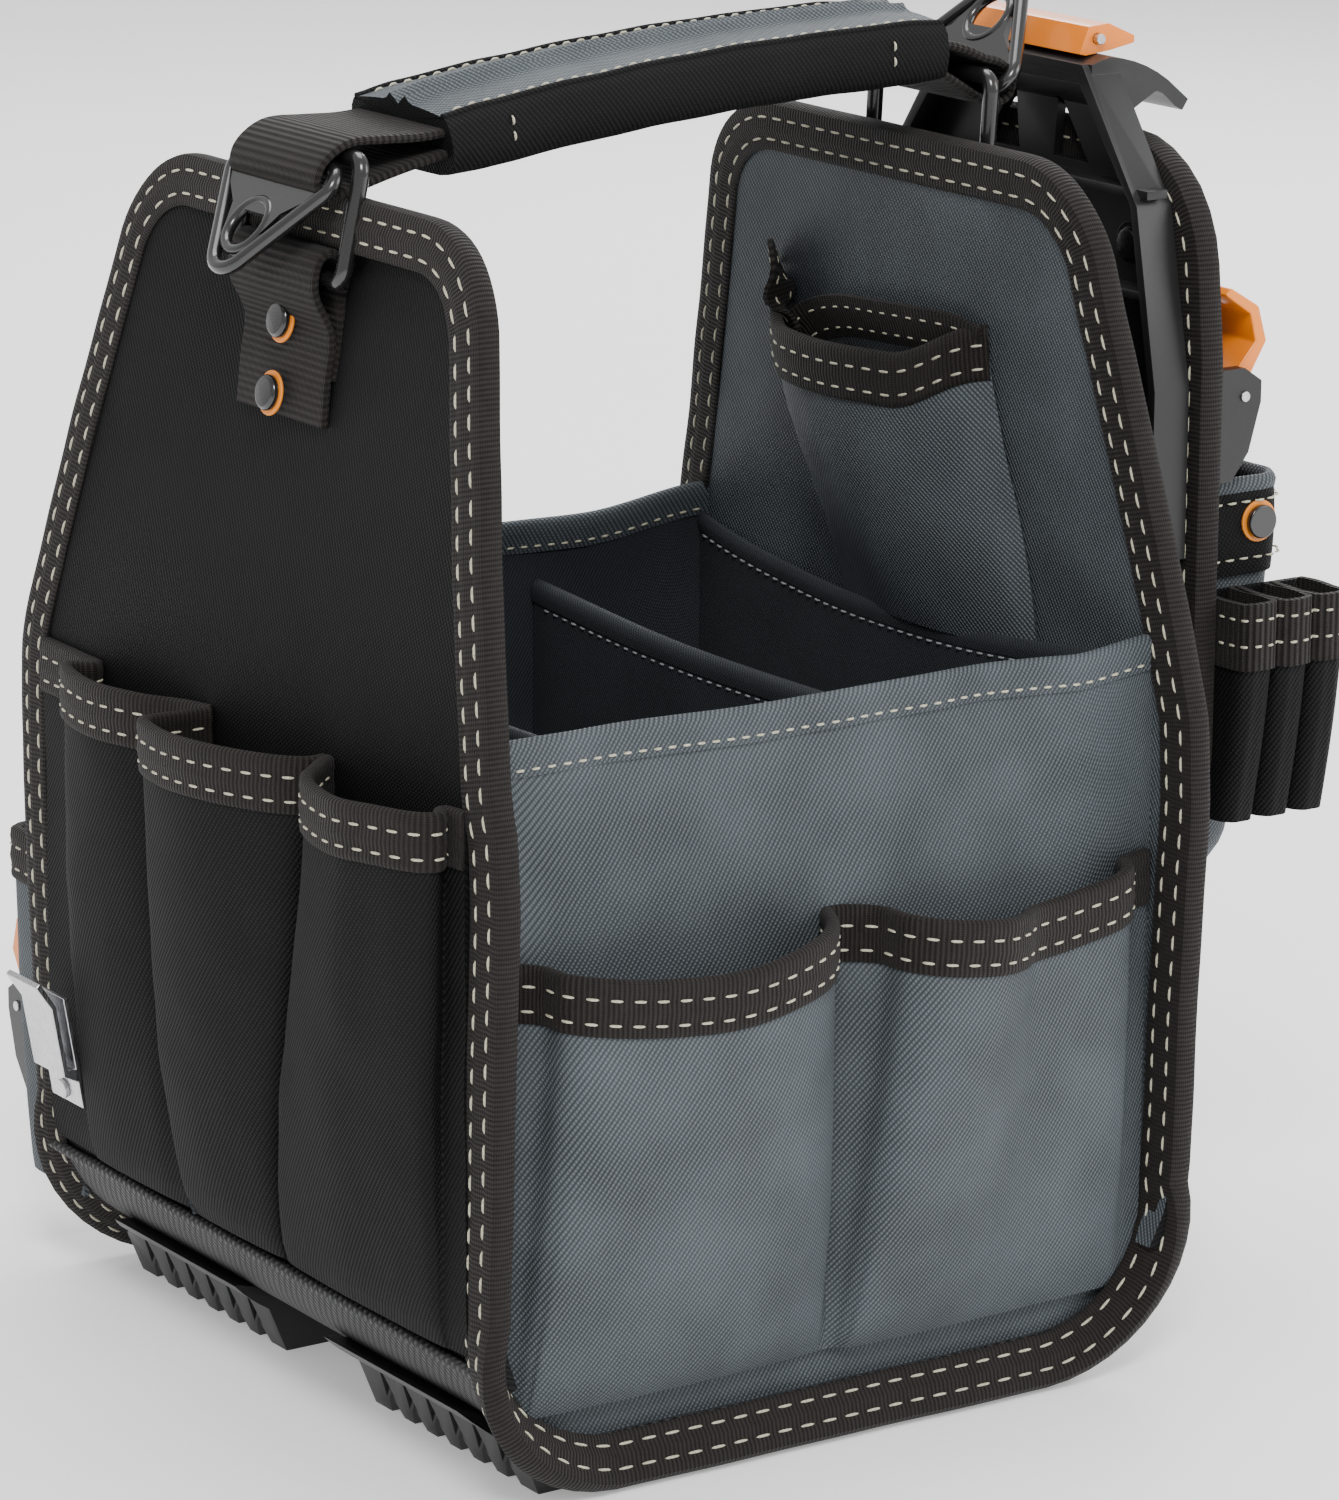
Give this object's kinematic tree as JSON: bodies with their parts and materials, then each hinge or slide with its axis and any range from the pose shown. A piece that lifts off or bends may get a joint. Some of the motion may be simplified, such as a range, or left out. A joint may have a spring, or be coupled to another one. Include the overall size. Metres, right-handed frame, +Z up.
{
  "type": "tool bucket organizer",
  "caption": "Open-top soft tool carrier with stiff end panels, padded handle, pockets, moulded feet and a lift-off pouch on a hub.",
  "frame": {"origin": "centre of the whole object's box, on the ground plane under the four feet", "axes": "+X from the front end panel to the pouch at the rear, +Y to the left side, +Z up"},
  "size_m": [0.3346, 0.3074, 0.3673],
  "materials": {
    "black_twill": "heavy black polyester twill",
    "grey_twill": "bluish grey polyester twill",
    "dark_lining": "dark grey coated lining cloth",
    "binding_tape": "ribbed dark brown-black binding tape with cream stitches",
    "webbing": "ribbed nylon webbing",
    "base_fabric": "bumpy rubber-coated base fabric",
    "black_plastic": "moulded black plastic, satin",
    "orange_plastic": "bright orange moulded plastic",
    "orange_washer": "orange anodised washer",
    "black_metal": "gloss black coated steel",
    "steel": "bright steel"
  },
  "bodies": {
    "bag": {"front_panel": "black_twill", "rear_panel": "grey_twill", "base_wrap": "base_fabric", "base_board": "dark_lining", "right_wall": "grey_twill", "left_wall": "grey_twill", "front_binding": "binding_tape", "rear_binding": "binding_tape", "base_binding": "binding_tape", "front_divider": "dark_lining", "rear_divider": "dark_lining", "rear_lining": "dark_lining", "right_pockets": "grey_twill", "right_pocket_tape": "binding_tape", "left_pockets": "grey_twill", "left_pocket_tape": "binding_tape", "front_pockets": "black_twill", "front_pocket_tape": "binding_tape", "inner_pocket": "grey_twill", "inner_pocket_tape": "binding_tape", "front_right_foot": "black_plastic", "front_left_foot": "black_plastic", "rear_right_foot": "black_plastic", "rear_left_foot": "black_plastic", "foot_rivets": "black_metal", "front_anchor_strap": "webbing", "rear_anchor_strap": "webbing", "anchor_washers": "orange_washer", "anchor_rivets": "black_metal", "tape_clip": "steel", "tape_clip_rivet": "steel", "side_clip_body": "black_plastic", "side_clip_pin": "steel", "hub_receiver": "black_plastic", "receiver_rivets": "black_metal"},
    "handle": {"handle_webbing": "webbing", "handle_grip": "grey_twill", "front_wire_ring": "black_metal", "rear_wire_ring": "black_metal"},
    "pouch": {"hub_bracket": "black_plastic", "bracket_rivets": "black_metal", "release_pin": "steel", "pouch_back": "black_twill", "pouch_binding": "binding_tape", "pouch_pocket": "grey_twill", "pouch_cuff": "black_twill", "pouch_washer": "orange_washer", "pouch_rivet": "black_metal", "tool_sleeves": "black_twill", "sleeve_tape": "webbing", "pouch_clip_body": "black_plastic", "pouch_clip_pin": "steel"},
    "front_strap_ring": {"front_strap_ring": "black_metal"},
    "rear_strap_ring": {"rear_strap_ring": "black_metal"},
    "release_lever": {"release_lever": "orange_plastic"},
    "pouch_clip_lever": {"pouch_clip_lever": "orange_plastic"},
    "side_clip_lever": {"side_clip_lever": "orange_plastic"}
  },
  "joints": [
    {"name": "handle_swing", "type": "hinge", "parent": "bag", "child": "handle", "pos_m": [-0.02885, -0.02015, 0.309], "axis": [1, 0, 0], "range_deg": [-6, 6]},
    {"name": "front_ring_swing", "type": "hinge", "parent": "handle", "child": "front_strap_ring", "pos_m": [-0.12635, -0.02015, 0.3355], "axis": [0, 1, 0], "range_deg": [-20, 110]},
    {"name": "rear_ring_swing", "type": "hinge", "parent": "handle", "child": "rear_strap_ring", "pos_m": [0.08715, -0.02015, 0.3435], "axis": [0, 1, 0], "range_deg": [-30, 5]},
    {"name": "pouch_lift", "type": "slide", "parent": "bag", "child": "pouch", "axis": [0, 0, 1], "range_m": [0, 0.055]},
    {"name": "release_press", "type": "hinge", "parent": "pouch", "child": "release_lever", "pos_m": [0.11665, -0.02015, 0.354], "axis": [0, 1, 0], "range_deg": [0, 8], "stiffness_Nm_per_rad": 0.2, "springref_deg": -5.73},
    {"name": "pouch_clip_open", "type": "hinge", "parent": "pouch", "child": "pouch_clip_lever", "pos_m": [0.14165, -0.07015, 0.257], "axis": [0, 1, 0], "range_deg": [0, 40], "stiffness_Nm_per_rad": 0.05, "springref_deg": -11.46},
    {"name": "side_clip_open", "type": "hinge", "parent": "bag", "child": "side_clip_lever", "pos_m": [-0.11085, 0.14265, 0.066], "axis": [-1, 0, 0], "range_deg": [0, 40], "stiffness_Nm_per_rad": 0.05, "springref_deg": -11.46}
  ]
}
